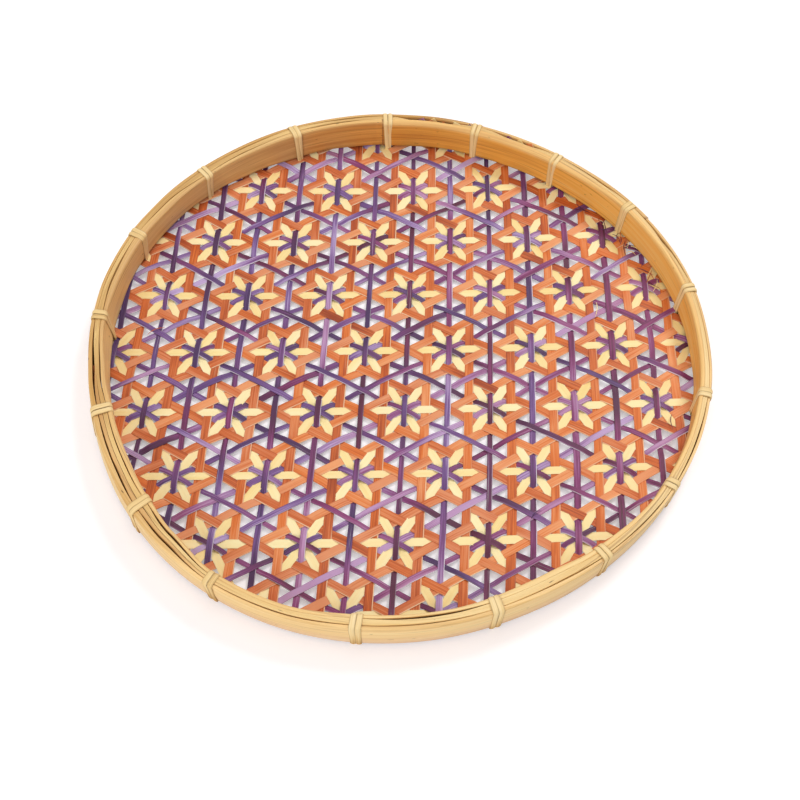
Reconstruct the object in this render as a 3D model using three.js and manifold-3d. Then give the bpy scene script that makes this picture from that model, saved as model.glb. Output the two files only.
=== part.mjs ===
// A shallow round tray of split bamboo. Two bent hoops grip a mat whose strips run in
// six directions, so that pale strips show as six-petalled stars in an orange net.
// Millimetres, +Z up: the tray lies face up, with its underside on z = 0.

import * as THREE from 'three';
import { mergeVertices } from 'three/addons/utils/BufferGeometryUtils.js';
import Module from 'manifold-3d';

const wasm = await Module();
wasm.setup();

// The rim: an outer hoop, an inner hoop, and a rounded splint that fills the slit between.
const RIM_RADIUS = 165;
const RIM_LOBE = 2; // bent by hand, the rim is slightly three-lobed
const RIM_LOBES = 3;
const RIM_SEGMENTS = 90;
const OUTER_HOOP_THICKNESS = 1.7;
const OUTER_HOOP_BOTTOM = 2.2;
const OUTER_HOOP_TOP = 22.2;
const SLIT_WIDTH = 3.5;
const INNER_HOOP_THICKNESS = 2.4;
const INNER_HOOP_TOP = 22.6;
const HOOP_BEVEL = 0.6;
const SPLINT_HEIGHT = 4.4;
const SPLINT_TOP = 22.9;
const SPLINT_BEVEL = 0.8;

// The bindings: flat rattan strand, wound twice round the whole rim and through the mat.
// Where each one sits is in degrees, anticlockwise from +X.
const LASHING_ANGLES = [
  11, 34, 53.5, 72.5, 92, 112.5, 134.5, 155.5, 176.5, 198.5, 220, 239, 264, 287, 308, 326.5, 347,
];
const LASHING_TURNS = 2;
const STRAND_WIDTH = 3.0;
const STRAND_THICKNESS = 0.7;
const STRAND_GAP = 0.6; // between neighbouring turns
const STRAND_CORNER = 1.2;
const STRAND_CORNER_STEPS = 2;

// The mat: flowers sit on a lattice with these two steps, slightly skewed by the weaving.
const FLOWER_STEP_ROW = new THREE.Vector2(45.3, 1.2);
const FLOWER_STEP_COLUMN = new THREE.Vector2(24.2, 39.5);
const FIRST_FLOWER = new THREE.Vector2(4.0, -36.4);
const STRIP_THICKNESS = 0.35;
const LAYER_PITCH = 0.42; // from one layer of strips to the next
const ORANGE_WIDTH = 4.4;
const CREAM_WIDTH = 4.2;
const PURPLE_WIDTH = 2.7;
const STRIP_END_INSET = 3.2; // strips end in the slit, this far inside the outer face
const STRIP_EDGE_MARGIN = 3.4; // a strip nearer the inner hoop than this would lie in the slit
const DIP_LAYER = -1; // a pale strip passes under the orange net here
const DIP_MARGIN = 0.5; // past the edges of the two orange strips that cover the dip
const DIP_WAIST = 0.45; // share of the width that is left where it dips
const CROSSING_ANGLE = Math.PI / 6; // between a pale strip and the orange ones over its dip
const PETAL_MARGIN = 0.15;

// Tacks join a net's crossings into one body, and slots let the bindings through the mat.
const TACK_SIZE = 1.2;
const TACK_EDGE_MARGIN = 1.4; // from the inner hoop's face to the outermost tack
const CLEARANCE = 0.3;

const SLIT_OUTER_INSET = OUTER_HOOP_THICKNESS;
const SLIT_INNER_INSET = SLIT_OUTER_INSET + SLIT_WIDTH;
const RIM_THICKNESS = SLIT_INNER_INSET + INNER_HOOP_THICKNESS;
const STRAND_PITCH = STRAND_WIDTH + STRAND_GAP;
const MAT_BOTTOM = STRAND_THICKNESS + CLEARANCE;
const MAT_RADIUS = RIM_RADIUS - RIM_THICKNESS;
const PURPLE_TOP_LAYER = 7;
const INNER_HOOP_BOTTOM = layerHeight(PURPLE_TOP_LAYER) + STRIP_THICKNESS + CLEARANCE;

const bamboo = finish(0xdcab5e, 0.5);
const honeyBamboo = finish(0xcf9440, 0.45);
const rattan = finish(0xe6cd94, 0.6);
const creamStrip = finish(0xf6dc96, 0.6);
const orangeStrip = finish(0xd4703a, 0.6);
const purpleStrip = finish(0x6b4a80, 0.6);

function finish(color, roughness) {
  return new THREE.MeshStandardMaterial({ color, roughness, metalness: 0 });
}

function layerHeight(layer) {
  return MAT_BOTTOM + (layer - DIP_LAYER) * LAYER_PITCH;
}

function rimRadius(angle) {
  return RIM_RADIUS + RIM_LOBE * Math.cos(RIM_LOBES * angle);
}

// A hoop is a closed section turned round the axis and then pushed out into the lobes.
function hoop(section) {
  const closed = [...section, section[0]].map(([inset, z]) => new THREE.Vector2(RIM_RADIUS - inset, z));
  const geometry = new THREE.LatheGeometry(closed, RIM_SEGMENTS);
  geometry.rotateX(Math.PI / 2);
  const position = geometry.attributes.position;
  for (let i = 0; i < position.count; i++) {
    const angle = Math.atan2(position.getY(i), position.getX(i));
    const radius = Math.hypot(position.getX(i), position.getY(i)) + rimRadius(angle) - RIM_RADIUS;
    position.setX(i, radius * Math.cos(angle));
    position.setY(i, radius * Math.sin(angle));
  }
  return geometry;
}

// A section with square feet and bevelled upper edges, between two insets.
function bevelledSection(outerInset, innerInset, bottom, top, bevel) {
  return [
    [outerInset, bottom],
    [outerInset, top - bevel],
    [outerInset + bevel, top],
    [innerInset - bevel, top],
    [innerInset, top - bevel],
    [innerInset, bottom],
  ];
}

// The line round the rim's whole section, enlarged by a clearance, as points that go
// from under the outer hoop up, over the top and down inside. Corners are rounded.
function windingLine(grow) {
  const outer = RIM_RADIUS - STRAND_CORNER;
  const inner = RIM_RADIUS - RIM_THICKNESS + STRAND_CORNER;
  const bottom = MAT_BOTTOM + STRAND_CORNER;
  const top = SPLINT_TOP - STRAND_CORNER;
  const corners = [
    [outer, bottom, -Math.PI / 2],
    [outer, top, 0],
    [inner, top, Math.PI / 2],
    [inner, bottom, Math.PI],
  ];
  const points = [];
  for (const [r, z, start] of corners) {
    for (let step = 0; step <= STRAND_CORNER_STEPS; step++) {
      const turn = start + (step / STRAND_CORNER_STEPS) * (Math.PI / 2);
      const reach = STRAND_CORNER + grow;
      points.push(new THREE.Vector2(r + reach * Math.cos(turn), z + reach * Math.sin(turn)));
    }
  }
  return points;
}

// One binding at angle 0: each turn follows the line, and the step sideways to the next
// turn is taken by the slanting run under the mat.
function lashing() {
  const inside = windingLine(CLEARANCE);
  const outside = windingLine(CLEARANCE + STRAND_THICKNESS);
  const vertices = [];
  for (let turn = 0; turn < LASHING_TURNS; turn++) {
    const middle = (turn - (LASHING_TURNS - 1) / 2) * STRAND_PITCH;
    for (let k = 0; k < inside.length; k++) {
      const corners = [[inside[k], -1], [inside[k], 1], [outside[k], 1], [outside[k], -1]];
      for (const [point, side] of corners) {
        vertices.push(point.x, middle + side * STRAND_WIDTH / 2, point.y);
      }
    }
  }
  const rings = vertices.length / 12;
  const index = [0, 1, 2, 0, 2, 3];
  for (let ring = 1; ring < rings; ring++) {
    for (let corner = 0; corner < 4; corner++) {
      const a = (ring - 1) * 4 + corner;
      const b = (ring - 1) * 4 + (corner + 1) % 4;
      index.push(a, a + 4, b, b, a + 4, b + 4);
    }
  }
  const last = (rings - 1) * 4;
  index.push(last, last + 2, last + 1, last, last + 3, last + 2);
  const geometry = new THREE.BufferGeometry();
  geometry.setAttribute('position', new THREE.Float32BufferAttribute(vertices, 3));
  geometry.setIndex(index);
  return geometry;
}

// The least distance between corners of one turn and corners of another.
function leastGapToItself(geometry) {
  const position = geometry.attributes.position;
  const perTurn = position.count / LASHING_TURNS;
  const a = new THREE.Vector3();
  const b = new THREE.Vector3();
  let least = Infinity;
  for (let i = 0; i < position.count; i++) {
    for (let j = i + 1; j < position.count; j++) {
      const sameTurn = Math.floor(i / perTurn) === Math.floor(j / perTurn);
      const joined = Math.floor(j / 4) - Math.floor(i / 4) < 2;
      if (sameTurn || joined) continue;
      a.fromBufferAttribute(position, i);
      b.fromBufferAttribute(position, j);
      least = Math.min(least, a.distanceTo(b));
    }
  }
  return least;
}

// A strip's side view, drawn along its path, is pushed out to its width and then drawn
// in where the path says so. Path points are { along, layer, share of the width }.
function stripSolid(line, width, path) {
  const outline = new THREE.Shape();
  path.forEach(({ along, layer }, i) => {
    if (i === 0) outline.moveTo(along, layerHeight(layer));
    else outline.lineTo(along, layerHeight(layer));
  });
  [...path].reverse().forEach(({ along, layer }) => {
    outline.lineTo(along, layerHeight(layer) + STRIP_THICKNESS);
  });
  const geometry = new THREE.ExtrudeGeometry(outline, { depth: width, bevelEnabled: false });
  geometry.translate(0, 0, -width / 2);
  const position = geometry.attributes.position;
  for (let i = 0; i < position.count; i++) {
    const distance = ({ along }) => Math.abs(along - position.getX(i));
    const nearest = path.reduce((best, point) => (distance(point) < distance(best) ? point : best));
    position.setZ(i, position.getZ(i) * nearest.share);
  }
  geometry.rotateX(Math.PI / 2);
  geometry.rotateZ(line.direction.angle());
  geometry.translate(line.start.x, line.start.y, 0);
  return solid(geometry);
}

function solid(geometry) {
  geometry.deleteAttribute('normal');
  geometry.deleteAttribute('uv');
  const merged = mergeVertices(geometry);
  return new wasm.Manifold(new wasm.Mesh({
    numProp: 3,
    vertProperties: Float32Array.from(merged.attributes.position.array),
    triVerts: Uint32Array.from(merged.index.array),
  }));
}

function geometryOf(manifold) {
  const { vertProperties, triVerts } = manifold.getMesh();
  const geometry = new THREE.BufferGeometry();
  geometry.setAttribute('position', new THREE.BufferAttribute(vertProperties, 3));
  geometry.setIndex(new THREE.BufferAttribute(triVerts, 1));
  geometry.computeVertexNormals();
  return geometry;
}

// Every line of one family: the lines run along one lattice step, through the flowers or
// half way between, and `side` leads from one line to the next. A line's flowers are
// `period` apart, and `start` is a flower or the point half way between two of them.
function familyLines({ along, side, phase }, width) {
  const direction = along.clone().normalize();
  const across = new THREE.Vector2(-direction.y, direction.x);
  const lines = [];
  const count = Math.ceil(RIM_RADIUS * 2 / Math.abs(side.dot(across)));
  for (let number = -count; number <= count; number++) {
    const start = FIRST_FLOWER.clone().addScaledVector(side, number + phase);
    if (Math.abs(start.dot(across)) > MAT_RADIUS - STRIP_EDGE_MARGIN) continue;
    const edges = [-width / 2, width / 2].map((shift) => start.clone().addScaledVector(across, shift));
    const from = Math.max(...edges.map((edge) => reach(edge, direction, -1)));
    const to = Math.min(...edges.map((edge) => reach(edge, direction, 1)));
    lines.push({ start, direction, from, to, period: along.length() });
  }
  return lines;
}

// How far along a line the slit is met, on the side that `sign` gives.
function reach(start, direction, sign) {
  const foot = start.dot(direction);
  const offset = Math.abs(direction.cross(start));
  let along = sign * RIM_RADIUS;
  for (let pass = 0; pass < 8; pass++) {
    const point = start.clone().addScaledVector(direction, along);
    const radius = rimRadius(point.angle()) - STRIP_END_INSET;
    along = -foot + sign * Math.sqrt(radius ** 2 - offset ** 2);
  }
  return along;
}

function straightPath({ from, to }, layer) {
  return [{ along: from, layer, share: 1 }, { along: to, layer, share: 1 }];
}

// A pale strip lies over the edges of its flowers and dips between one and the next.
function dippingPath({ from, to, period }, layer) {
  const petal = period / 4 + ORANGE_WIDTH / 2 + PETAL_MARGIN;
  const cover = ORANGE_WIDTH / 2 / Math.sin(CROSSING_ANGLE);
  const waist = (DIP_WAIST * CREAM_WIDTH) / 2 / Math.tan(CROSSING_ANGLE);
  const dip = period / 2 - cover - waist - DIP_MARGIN;
  const bends = [];
  const first = Math.floor(from / period) - 1;
  const last = Math.ceil(to / period) + 1;
  for (let flower = first; flower <= last; flower++) {
    bends.push({ along: flower * period - dip, layer: DIP_LAYER, share: DIP_WAIST });
    bends.push({ along: flower * period - petal, layer, share: 1 });
    bends.push({ along: flower * period + petal, layer, share: 1 });
    bends.push({ along: flower * period + dip, layer: DIP_LAYER, share: DIP_WAIST });
  }
  const inside = bends.filter(({ along }) => along > from && along < to);
  return [pathPoint(bends, from), ...inside, pathPoint(bends, to)];
}

function pathPoint(bends, along) {
  const next = bends.findIndex((bend) => bend.along > along);
  const before = bends[next - 1];
  const after = bends[next];
  const t = (along - before.along) / (after.along - before.along);
  return {
    along,
    layer: THREE.MathUtils.lerp(before.layer, after.layer, t),
    share: THREE.MathUtils.lerp(before.share, after.share, t),
  };
}

// Slots through the mat, one at each binding, from in front of its strand to past the
// ends of the strips in the slit.
function lashingSlots() {
  const innerInset = RIM_THICKNESS + STRAND_THICKNESS + 2 * CLEARANCE;
  const outerInset = STRIP_END_INSET - CLEARANCE;
  const width = LASHING_TURNS * STRAND_PITCH;
  const height = INNER_HOOP_BOTTOM * 2;
  return LASHING_ANGLES.map((degrees) => {
    const angle = THREE.MathUtils.degToRad(degrees);
    const box = new THREE.BoxGeometry(innerInset - outerInset, width, height);
    box.translate(rimRadius(angle) - (innerInset + outerInset) / 2, 0, 0);
    box.rotateZ(angle);
    return solid(box);
  }).reduce((all, slot) => all.add(slot));
}

const slots = lashingSlots();

// What is left of a strip or net once the bindings pass through it, less any loose end.
function slotted(manifold) {
  const bodies = manifold.subtract(slots).decompose();
  return bodies.reduce((largest, body) => (body.volume() > largest.volume() ? body : largest));
}

// The point where the centre lines of two strips cross, or null where they are parallel.
function crossing(a, b) {
  const sine = a.direction.cross(b.direction);
  if (Math.abs(sine) < 0.1) return null;
  const gap = b.start.clone().sub(a.start);
  return a.start.clone().addScaledVector(a.direction, gap.cross(b.direction) / sine);
}

// A net of straight strips in layers, tacked at as few crossings as hold them all.
function net(families, width) {
  const strips = families.flatMap((family) => {
    return familyLines(family, width).map((line) => ({ ...line, layer: family.layer }));
  });
  const group = strips.map((_, i) => i);
  const find = (i) => (group[i] === i ? i : find(group[i]));
  let whole = strips
    .map((strip) => stripSolid(strip, width, straightPath(strip, strip.layer)))
    .reduce((all, strip) => all.add(strip));
  for (let i = 0; i < strips.length; i++) {
    for (let j = i + 1; j < strips.length; j++) {
      const point = crossing(strips[i], strips[j]);
      if (!point || point.length() > MAT_RADIUS - TACK_EDGE_MARGIN || find(i) === find(j)) continue;
      group[find(i)] = find(j);
      whole = whole.add(tack(point, strips[i].layer, strips[j].layer));
    }
  }
  return slotted(whole);
}

function tack(point, oneLayer, otherLayer) {
  const bottom = layerHeight(Math.min(oneLayer, otherLayer)) + STRIP_THICKNESS / 2;
  const top = layerHeight(Math.max(oneLayer, otherLayer)) + STRIP_THICKNESS / 2;
  const box = new THREE.BoxGeometry(TACK_SIZE, TACK_SIZE, top - bottom);
  box.translate(point.x, point.y, (bottom + top) / 2);
  return solid(box);
}

function add(parent, name, geometry, material) {
  const mesh = new THREE.Mesh(geometry, material);
  mesh.name = name;
  parent.add(mesh);
  return mesh;
}

const tray = new THREE.Group();

const outerSection = bevelledSection(
  0,
  SLIT_OUTER_INSET,
  OUTER_HOOP_BOTTOM,
  OUTER_HOOP_TOP,
  HOOP_BEVEL,
);
add(tray, 'outer_hoop', hoop(outerSection), bamboo);

const innerSection = bevelledSection(
  SLIT_INNER_INSET,
  RIM_THICKNESS,
  INNER_HOOP_BOTTOM,
  INNER_HOOP_TOP,
  HOOP_BEVEL,
);
add(tray, 'inner_hoop', hoop(innerSection), honeyBamboo);

const splintSection = bevelledSection(
  SLIT_OUTER_INSET + CLEARANCE,
  SLIT_INNER_INSET - CLEARANCE,
  SPLINT_TOP - SPLINT_HEIGHT,
  SPLINT_TOP,
  SPLINT_BEVEL,
);
add(tray, 'rim_splint', hoop(splintSection), bamboo);

LASHING_ANGLES.forEach((degrees, i) => {
  const angle = THREE.MathUtils.degToRad(degrees);
  const lobe = rimRadius(angle) - RIM_RADIUS;
  const mesh = add(tray, `lashing_${String(i + 1).padStart(2, '0')}`, lashing(), rattan);
  mesh.position.set(lobe * Math.cos(angle), lobe * Math.sin(angle), 0);
  mesh.rotation.z = angle;
});
console.log(`least gap of a binding to itself: ${leastGapToItself(lashing()).toFixed(2)} mm`);

// The coloured strips run along the long diagonals of the lattice. Orange ones pass half
// way between flowers and purple ones through them, with the purple net on top.
const row = FLOWER_STEP_ROW;
const column = FLOWER_STEP_COLUMN;
const upright = column.clone().multiplyScalar(2).sub(row);
const rising = row.clone().add(column);
const falling = row.clone().multiplyScalar(2).sub(column);
const orangeFamilies = [
  { along: upright, side: column, phase: 0.5, layer: 0 },
  { along: rising, side: row, phase: 0.5, layer: 2 },
  { along: falling, side: row, phase: 0.5, layer: 3 },
];
add(tray, 'orange_net', geometryOf(net(orangeFamilies, ORANGE_WIDTH)), orangeStrip);

const purpleFamilies = [
  { along: rising, side: row, phase: 0, layer: 5 },
  { along: falling, side: row, phase: 0, layer: 6 },
  { along: upright, side: column, phase: 0, layer: PURPLE_TOP_LAYER },
];
add(tray, 'purple_net', geometryOf(net(purpleFamilies, PURPLE_WIDTH)), purpleStrip);

// The pale strips run along the rows of flowers. Those of the first family pass between
// two layers of the orange net, and the others go over its edge strips and dip under.
const returning = row.clone().sub(column);
const creamFamilies = [
  { name: 'cream_across', along: row, side: column, phase: 0, layer: 1, path: straightPath },
  { name: 'cream_rising', along: column, side: row, phase: 0, layer: 4, path: dippingPath },
  { name: 'cream_falling', along: returning, side: row, phase: 0, layer: 3, path: dippingPath },
];
for (const { name, layer, path, ...family } of creamFamilies) {
  familyLines(family, CREAM_WIDTH).forEach((line, i) => {
    const strip = slotted(stripSolid(line, CREAM_WIDTH, path(line, layer)));
    add(tray, `${name}_${i + 1}`, geometryOf(strip), creamStrip);
  });
}

// The tray stands on its origin, at the middle of the space that it fills.
const space = new THREE.Box3().setFromObject(tray);
const middle = space.getCenter(new THREE.Vector3());
tray.position.set(-middle.x, -middle.y, -space.min.z);

export default tray;
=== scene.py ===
import math
import random

import bmesh
import bpy
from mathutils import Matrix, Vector, noise


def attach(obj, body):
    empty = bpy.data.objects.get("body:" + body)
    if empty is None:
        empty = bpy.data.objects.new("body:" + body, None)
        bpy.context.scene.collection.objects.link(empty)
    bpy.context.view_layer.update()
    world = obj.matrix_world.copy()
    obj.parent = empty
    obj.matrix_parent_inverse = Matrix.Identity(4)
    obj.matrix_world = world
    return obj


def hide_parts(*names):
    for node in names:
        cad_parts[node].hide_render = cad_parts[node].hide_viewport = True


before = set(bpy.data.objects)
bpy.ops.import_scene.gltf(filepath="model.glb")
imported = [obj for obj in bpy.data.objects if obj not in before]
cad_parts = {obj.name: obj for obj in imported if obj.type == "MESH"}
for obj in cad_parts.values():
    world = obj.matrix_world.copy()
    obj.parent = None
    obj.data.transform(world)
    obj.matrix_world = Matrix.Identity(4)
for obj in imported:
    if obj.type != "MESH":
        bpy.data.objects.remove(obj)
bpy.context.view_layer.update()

# The camera looks down on the tray from the near side, from a little over half a metre, as
# for a hand-held picture of a tray that lies on a table.
MM = 0.001

camera = bpy.data.objects.new("camera", bpy.data.cameras.new("camera"))
camera.location = Vector((-1.97, -341.55, 489.6)) * MM
camera.rotation_euler = [math.radians(turn) for turn in (32.555, -0.464, 0.198)]
camera.data.sensor_width = 36
camera.data.lens = 48.895
camera.data.clip_start = 0.01
bpy.context.scene.collection.objects.link(camera)
bpy.context.scene.camera = camera


# The table is a smooth white sheet, which fades into the white room away from the tray. A
# window behind the tray and to its right makes the soft shadow on the near left, a lamp hangs
# overhead, and a wide white screen at the near left lights the sides that face it.
class Wire:
    """An output of a node in a material, which is used in sums as a number is."""

    def __init__(self, tree, socket=None):
        self.tree = tree
        self.socket = socket

    def node(self, kind, settings, inputs, output=0):
        """Adds a node, sets it, feeds it values or other wires, and gives one of its outputs."""
        made = self.tree.nodes.new(kind)
        for name, value in settings.items():
            if name != "stops":
                setattr(made, name, value)
                continue
            while len(made.color_ramp.elements) < len(value):
                made.color_ramp.elements.new(1.0)
            for element, (place, colour) in zip(made.color_ramp.elements, value):
                element.position, element.color = place, colour
        for name, value in inputs.items():
            if isinstance(value, Wire):
                self.tree.links.new(value.socket, made.inputs[name])
            else:
                made.inputs[name].default_value = value
        return Wire(self.tree, made.outputs[output] if made.outputs else None)

    def math(self, operation, first, second=0.0):
        return self.node("ShaderNodeMath", {"operation": operation}, {0: first, 1: second})

    def __add__(self, other):
        return self.math("ADD", self, other)

    def __sub__(self, other):
        return self.math("SUBTRACT", self, other)

    def __mul__(self, other):
        return self.math("MULTIPLY", self, other)

    def __rsub__(self, other):
        return self.math("SUBTRACT", other, self)

    __radd__ = __add__
    __rmul__ = __mul__

    def between(self, low, high):
        """0 at `low` and before it, 1 at `high` and past it, and eased between them."""
        inputs = {"Value": self, "From Min": low, "From Max": high}
        return self.node("ShaderNodeMapRange", {"interpolation_type": "SMOOTHSTEP"}, inputs)

    def blend(self, first, second):
        """One colour where this is 0 and the other where it is 1."""
        inputs = {0: self, 6: first, 7: second}
        return self.node("ShaderNodeMix", {"data_type": "RGBA"}, inputs, 2)

    def ramp(self, *stops):
        """The colour for this value, from stops that are each a place and a colour."""
        return self.node("ShaderNodeValToRGB", {"stops": stops}, {0: self})

    def attribute(self, name):
        """What the piece's mesh says at each point under this name."""
        return self.node("ShaderNodeAttribute", {"attribute_name": name}, {}, "Fac")

    def separate(self, axis):
        return self.node("ShaderNodeSeparateXYZ", {}, {0: self}, axis)

    def noise(self, x, y, z, detail):
        """Noise from 0 to 1, at a place that is given by three wires or numbers."""
        place = self.node("ShaderNodeCombineXYZ", {}, {0: x, 1: y, 2: z})
        inputs = {"Vector": place, "Scale": 1.0, "Detail": detail}
        return self.node("ShaderNodeTexNoise", {}, inputs)

    def bump(self, height, distance, strength):
        inputs = {"Height": height, "Distance": distance, "Strength": strength}
        return self.node("ShaderNodeBump", {}, inputs)

    def feeds(self, shader, name):
        self.tree.links.new(self.socket, shader.inputs[name])


def paint(red, green, blue):
    """A colour as it is seen, 0 to 255, in the linear values that materials take."""
    seen = [level / 255 for level in (red, green, blue)]
    # The sRGB standard's own curve, which is straight near black.
    return (*[s / 12.92 if s < 0.04045 else ((s + 0.055) / 1.055) ** 2.4 for s in seen], 1.0)


def new_material(name):
    """An empty material, and its shader and wires to fill it with."""
    material = bpy.data.materials.new(name)
    material.use_nodes = True
    return material, material.node_tree.nodes["Principled BSDF"], Wire(material.node_tree)


def finished(name, bm, material):
    """The object that a finished mesh makes."""
    mesh = bpy.data.meshes.new(name)
    bm.to_mesh(mesh)
    bm.free()
    mesh.shade_smooth()
    mesh.materials.append(material)
    made = bpy.data.objects.new(name, mesh)
    bpy.context.scene.collection.objects.link(made)
    return made


TABLE_REACH = 4
FADE_STARTS, FADE_ENDS = 0.35, 0.9
# The table glows to the lens, which is painted light: near the tray a faint pinkish glow lifts its
# shadows, and away from it a stronger glow makes it as white as the room.
TABLE_GLOW, ROOM_GLOW = (0.342, 0.332, 0.336, 1), (0.62, 0.62, 0.62, 1)
NO_GLOW = (0, 0, 0, 1)
table_material, table_shader, wires = new_material("white_table")
seen = wires.node("ShaderNodeLightPath", {}, {}, "Is Camera Ray")
table_white = seen.blend(paint(240, 240, 238), paint(233, 230, 232))
table_white.feeds(table_shader, "Base Color")
place = wires.node("ShaderNodeTexCoord", {}, {}, "Object")
away = wires.node("ShaderNodeVectorMath", {"operation": "LENGTH"}, {0: place}, "Value")
table_glow = away.between(FADE_STARTS, FADE_ENDS).blend(TABLE_GLOW, ROOM_GLOW)
table_glow = seen.blend(NO_GLOW, table_glow)
table_glow.feeds(table_shader, "Emission Color")
table_shader.inputs["Emission Strength"].default_value = 1.0
table_shader.inputs["Roughness"].default_value = 0.8
table_shader.inputs["Specular IOR Level"].default_value = 0.1

bm = bmesh.new()
bmesh.ops.create_grid(bm, x_segments=1, y_segments=1, size=TABLE_REACH)
table = finished("table", bm, table_material)

# Daylight comes evenly from all round. It looks plain white to the lens and in reflections,
# and lights matt surfaces with less than that.
SKY_LIGHT = 0.46
world = bpy.data.worlds.new("daylight")
world.use_nodes = True
bpy.context.scene.world = world
sky = world.node_tree.nodes["Background"]
wires = Wire(world.node_tree)
sky_seen = wires.node("ShaderNodeLightPath", {}, {}, "Is Camera Ray")
for other_ray in ("Is Glossy Ray", "Is Transmission Ray"):
    sky_seen = wires.math("MAXIMUM", sky_seen, wires.node("ShaderNodeLightPath", {}, {}, other_ray))
(SKY_LIGHT + sky_seen * (1 - SKY_LIGHT)).feeds(sky, "Strength")
sky.inputs["Color"].default_value = (1, 1, 1, 1)

for name, place, size, power in (
    ("window", (0.75, 0.95, 1.55), 0.6, 15.0),
    ("overhead_lamp", (-0.05, 0.25, 1.6), 0.7, 2.0),
    ("screen", (-0.75, -1.25, 0.85), 1.2, 11.0),
):
    lamp = bpy.data.objects.new(name, bpy.data.lights.new(name, "AREA"))
    lamp.data.shape = "DISK"
    lamp.data.size = size
    lamp.data.energy = power
    lamp.location = place
    lamp.rotation_euler = Vector(place).to_track_quat("Z", "Y").to_euler()
    bpy.context.scene.collection.objects.link(lamp)
bpy.context.scene.view_settings.view_transform = "Standard"


# The orange strips are dyed splints of bamboo, a third of a millimetre thick. They run in
# three directions half way between the flowers, and go over and under each other in turn.
# Each end is bent up between the two hoops.
RIM_MIDDLE = Vector((-1.67, -0.09)) * MM
ROW = Vector((45.3, 1.2)) * MM
COLUMN = Vector((24.2, 39.5)) * MM
FIRST_FLOWER = RIM_MIDDLE + Vector((4.0, -36.4)) * MM
UPRIGHT = 2 * COLUMN - ROW
RISING = ROW + COLUMN
FALLING = 2 * ROW - COLUMN
AT_FLOWERS, HALF_WAY = 0, 0.5

STRIP_THICKNESS = 0.34 * MM
LEVEL = 0.37 * MM  # from one layer of strips to the next
LOWEST_LEVEL = -1
MAT_BASE = 2.2 * MM
SAG = 1.3 * MM  # how far the mat hangs down in its middle
BEND_INSET = 4.1 * MM  # where a strip's end starts to bend up, in from the outer line
BEND_RADIUS = 2.0 * MM
STRIP_REACH = 153.9 * MM  # a line further out than this has no strip
STRIP_END = 9 * MM  # how far a strip's flat length goes past the plain rim's outer line
STRIP_STEP = 1.5 * MM
RIM_RADIUS = 165 * MM
RIM_LOBE, RIM_LOBES = 2 * MM, 3


def rim_radius(angle):
    """The rim is bent by hand, and is slightly three-lobed."""
    return RIM_RADIUS + RIM_LOBE * math.cos(RIM_LOBES * angle)


def heading(angle):
    """The flat direction at an angle, one metre long."""
    return Vector((math.cos(angle), math.sin(angle)))


def share_between(value, low, high):
    """0 up to `low`, 1 from `high` on, and straight between them."""
    return min(1.0, max(0.0, (value - low) / (high - low)))


RIM_DEPTH, SPLIT_DEPTH = 7.6 * MM, 5.2 * MM  # how far in the inner hoop's two faces are
LEAN_FROM, LEAN_TO = 4.2 * MM, 22.6 * MM
LEAN_MOST = 1.1  # the lean goes on above a plain rim's top, to this share of it
# At these angles: how far the rim's top leans out, how wide the top is, how far in from the
# outer line its inner hoop starts, and how far the top has sunk, all in mm.
RIM_TOP = [
    (0, -0.4, 6.2, 4.0, 0.2), (14, 0.4, 6.2, 4.0, 0.1), (34, 0.7, 7.0, 4.4, 0.1),
    (53, 0.6, 8.6, 5.0, 0.0), (80, 0.8, 8.6, 4.9, 0.0), (92, 0.0, 8.8, 4.9, 0.0),
    (112, -0.6, 8.8, 5.2, 0.0), (123, -1.0, 9.6, 6.4, 0.0), (134, -0.8, 9.6, 7.0, 0.0),
    (146, -0.2, 9.0, 4.9, 0.0), (156, 0.5, 8.8, 4.5, 0.0), (168, 0.6, 8.4, 4.8, 0.1),
    (177, -0.1, 7.4, 5.4, 0.2), (190, -1.6, 8.8, 6.4, 0.3), (199, -2.0, 10.2, 7.8, 0.4),
    (210, -1.6, 11.0, 8.3, 0.5), (220, -0.4, 11.2, 8.8, 0.8), (228, 0.4, 10.0, 7.9, 1.1),
    (239, 0.9, 6.6, 4.8, 1.4), (252, 0.9, 6.2, 4.3, 1.4), (264, 0.4, 7.4, 5.4, 1.3),
    (280, 0.6, 7.6, 5.6, 1.3), (298, 0.3, 9.2, 6.2, 1.3), (308, 0.7, 7.4, 4.8, 1.3),
    (322, 1.1, 5.8, 4.0, 1.2), (334, 0.9, 6.2, 4.2, 0.9), (347, 0.4, 6.0, 4.2, 0.4),
]
# At these angles: how far the foot of the inner hoop stands in from a plain rim's, in mm.
RIM_FOOT = [
    (0, -1.2), (20, -1.3), (35, -0.5), (50, 0.0), (72, 0.2), (78, -0.5), (90, 1.0), (100, 1.8),
    (106, 1.3), (114, 2.4), (124, 1.5), (133, -0.4), (142, -1.4), (160, -1.6), (172, -0.1),
    (182, 1.2), (192, 2.2), (205, 1.2), (230, 0.2), (310, 0.0), (320, -1.6), (340, -2.2),
    (352, -2.0),
]


def around(angle, rows):
    """Values at an angle, eased between rows that each start with theirs, in degrees."""
    turn = math.degrees(angle) % 360
    for row, following in zip(rows, [*rows[1:], (360 + rows[0][0], *rows[0][1:])]):
        if turn <= following[0]:
            share = (turn - row[0]) / (following[0] - row[0])
            share = share * share * (3 - 2 * share)
            return [a + (b - a) * share for a, b in zip(row[1:], following[1:])]


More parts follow.
